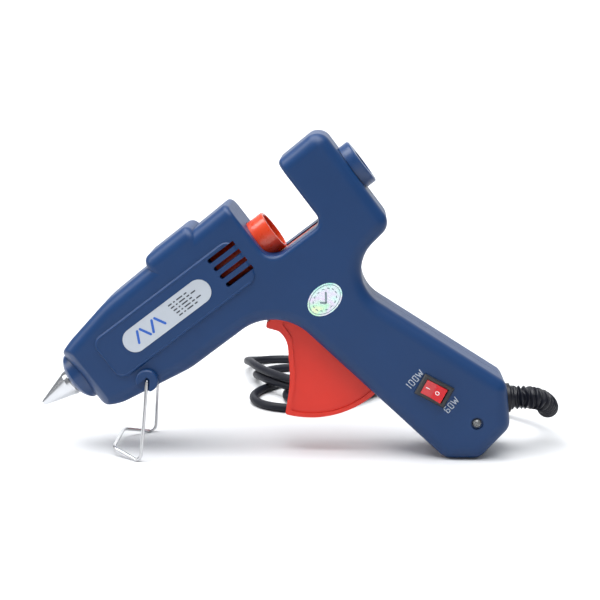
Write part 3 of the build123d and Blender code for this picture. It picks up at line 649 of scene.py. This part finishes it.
BLUE = (0.0035, 0.031, 0.11)
COAT = {"Coat Weight": 0.35, "Coat Roughness": 0.18}
materials = {
    "body_plastic": moulded("body_plastic", BLUE, 0.42, 2.6, 0.035, 0.05, {"Specular IOR Level": 0.32}),
    "ring_plastic": moulded("ring_plastic", shade(BLUE, 1.15), 0.33, 2.6, 0.02, 0.05),
    "nozzle_metal": metal("nozzle_metal", (0.6, 0.61, 0.63), 0.24, (1, 6, 6), 0.6, 0.02),
    "chamber_metal": metal("chamber_metal", (0.62, 0.62, 0.63), 0.5, (1, 1, 1), 0.8, 0.05),
    "heater_ceramic": moulded("heater_ceramic", (0.82, 0.8, 0.74), 0.35, 1.0, 0.02),
    "spring_steel": metal("spring_steel", (0.55, 0.55, 0.57), 0.3, (1, 1, 5), 1.0, 0.01),
    "insulation": board_material("insulation", (0.72, 0.66, 0.52)),
    "sleeve_rubber": moulded("sleeve_rubber", (0.3, 0.035, 0.025), 0.6, 1.6, 0.03),
    "carriage_plastic": moulded("carriage_plastic", (0.58, 0.04, 0.005), 0.28, 1.8, 0.012, 0.06,
                                {**COAT, "Subsurface Weight": 0.25, "Subsurface Radius": (1, 0.25, 0.1),
                                 "Subsurface Scale": 0.003}),
    "pawl_steel": metal("pawl_steel", (0.5, 0.5, 0.48), 0.35, (4, 1, 1), 1.0, 0.01),
    "trigger_plastic": moulded("trigger_plastic", (0.62, 0.026, 0.013), 0.4, 2.0, 0.015, 0.06,
                               {"Specular IOR Level": 0.35}),
    "pin_steel": metal("pin_steel", (0.6, 0.6, 0.62), 0.25, (1, 5, 1), 1.0, 0.01),
    "guide_plastic": moulded("guide_plastic", (0.7, 0.04, 0.03), 0.3, 1.8, 0.012, 0.06, COAT),
    "stand_steel": metal("stand_steel", (0.66, 0.66, 0.67), 0.2, (5, 5, 1), 1.2, 0.01),
    "switch_black": moulded("switch_black", (0.013, 0.013, 0.015), 0.35, 2.4, 0.02),
    "rocker_red": moulded("rocker_red", (0.5, 0.012, 0.018), 0.25, 2.0, 0.01, 0.06, COAT),
    "terminal_brass": metal("terminal_brass", (0.78, 0.57, 0.25), 0.3, (1, 4, 1), 1.0, 0.01),
    "lens_grey": moulded("lens_grey", (0.12, 0.125, 0.13), 0.2, 2.0, 0.008, 0.1,
                         {"Transmission Weight": 0.2, "Coat Weight": 0.6, "Coat Roughness": 0.08}),
    "lamp_clear": moulded("lamp_clear", (0.8, 0.8, 0.76), 0.08, 1.0, 0.004, 0.03,
                          {"Transmission Weight": 0.7}),
    "board_phenolic": board_material("board_phenolic", (0.34, 0.2, 0.08)),
    "diode_black": moulded("diode_black", (0.02, 0.02, 0.02), 0.4, 2.0, 0.02),
    "wire_white": moulded("wire_white", (0.82, 0.81, 0.77), 0.6, 1.4, 0.04),
    "wire_blue": moulded("wire_blue", (0.04, 0.11, 0.5), 0.35, 1.8, 0.015),
    "cord_black": moulded("cord_black", (0.006, 0.007, 0.013), 0.5, 1.6, 0.03, 0.15,
                          {"Specular IOR Level": 0.22}),
    "label_silver": metal("label_silver", (0.47, 0.51, 0.56), 0.36, (1, 1, 9), 1.0, 0.006, 0.06, 0.6),
    "sticker_film": iridescent("sticker_film"),
    "screw_steel": metal("screw_steel", (0.22, 0.22, 0.23), 0.35, (1, 1, 1), 1.2, 0.02),
    "boot_rubber": moulded("boot_rubber", (0.004, 0.005, 0.010), 0.38, 1.8, 0.03, 0.15,
                           {"Specular IOR Level": 0.3}),
    "plug_black": moulded("plug_black", (0.012, 0.012, 0.014), 0.38, 2.2, 0.03),
    "plug_pin_metal": metal("plug_pin_metal", (0.72, 0.68, 0.58), 0.22, (1, 5, 5), 1.0, 0.01),
}
mark_materials = {
    "white_ink": moulded("white_ink", (0.75, 0.77, 0.8), 0.5, 2.0, 0.01),
    "grey_ink": moulded("grey_ink", (0.42, 0.47, 0.54), 0.5, 2.0, 0.01),
    "blue_ink": moulded("blue_ink", (0.01, 0.09, 0.42), 0.35, 2.0, 0.005),
    "dark_ink": moulded("dark_ink", (0.03, 0.035, 0.05), 0.4, 2.0, 0.005),
    "sticker_ink": moulded("sticker_ink", (0.16, 0.22, 0.24), 0.35, 2.0, 0.005),
}


def dress(piece, material):
    piece.data.materials.clear()
    piece.data.materials.append(material)


for part in frame["record"]["subparts"]:
    node = nodes[part["node"]]
    dress(node, materials[part["material_slot"]])

for piece, slot_name in ((cord, "cord_black"), (boot, "boot_rubber"), (plug, "plug_black")):
    dress(piece, materials[slot_name])
    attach(piece, "gun")
for piece in panel_beads:
    dress(piece, materials["body_plastic"])
for pieces, ink, slot_name in ((watt_marks, "grey_ink", "body_plastic"),
                               (rocker_marks, "white_ink", "rocker_red"),
                               ([device_mark], "blue_ink", "label_silver"),
                               ([dash_mark], "dark_ink", "label_silver"),
                               ([sticker_mark], "sticker_ink", "sticker_film")):
    for piece in pieces:
        dress(piece, mark_materials[ink])

# The trigger's return spring, as a copy with its own mesh, riding on the gun in place of the original
spring = bpy.data.objects.new("return_spring", nodes["trigger_spring"].data.copy())
scene.collection.objects.link(spring)
dress(spring, materials["spring_steel"])
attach(spring, "gun")
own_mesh(spring)
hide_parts("trigger_spring")

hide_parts("cord", "cord_coil")
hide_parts("strain_relief")
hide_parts("plug")

# Surface, backdrop and light


def add_stage():
    """A pale sweep: flat surface, then a smooth rise behind."""
    near, far, rise, bend, half = -1.2, 1.6, 1.8, 0.6, 3.0
    profile = [(near, 0.0), (far, 0.0)]
    for k in range(1, 25):
        angle = math.pi / 2 * k / 24
        profile.append((far + bend * math.sin(angle), bend * (1 - math.cos(angle))))
    profile.append((far + bend, bend + rise))
    verts = [(x, y, z) for y, z in profile for x in (-half, half)]
    faces = [(2 * i, 2 * i + 1, 2 * i + 3, 2 * i + 2) for i in range(len(profile) - 1)]
    stage = mesh_piece("stage", verts, faces)
    material, tree, shader, where = new_material("stage_paper")
    tint = ramp(tree, noise(tree, where, 0.004, 2.0),
                [(0.3, (0.66, 0.67, 0.685)), (0.7, (0.675, 0.685, 0.70))])
    tree.links.new(tint, shader.inputs["Base Color"])
    shader.inputs["Roughness"].default_value = 0.5
    shader.inputs["Specular IOR Level"].default_value = 0.25
    dress(stage, material)


def add_area_light(name, place, target, size, power):
    data = bpy.data.lights.new(name, "AREA")
    data.shape = "RECTANGLE"
    data.size, data.size_y = size
    data.energy = power
    light = bpy.data.objects.new(name, data)
    scene.collection.objects.link(light)
    light.location = place
    aim = Vector(target) - Vector(place)
    light.rotation_euler = aim.to_track_quat("-Z", "Y").to_euler()


add_stage()
world = bpy.data.worlds.new("studio")
world.use_nodes = True
background = world.node_tree.nodes["Background"]
background.inputs["Color"].default_value = (0.93, 0.96, 1.0, 1)
background.inputs["Strength"].default_value = 0.3
scene.world = world
scene.view_settings.view_transform = "Standard"
add_area_light("top_softbox", (-0.1, -0.12, 1.0), (0, 0.02, 0), (1.3, 0.9), 24.0)
add_area_light("left_softbox", (-1.1, -0.15, 0.75), (0, 0, 0.06), (0.6, 0.9), 7.0)
add_area_light("front_fill", (0.3, -1.2, 0.35), (0, 0, 0.08), (0.9, 0.6), 1.2)
add_area_light("back_wash", (0, 1.0, 1.2), (0, 1.9, 0.3), (2.5, 0.8), 40.0)
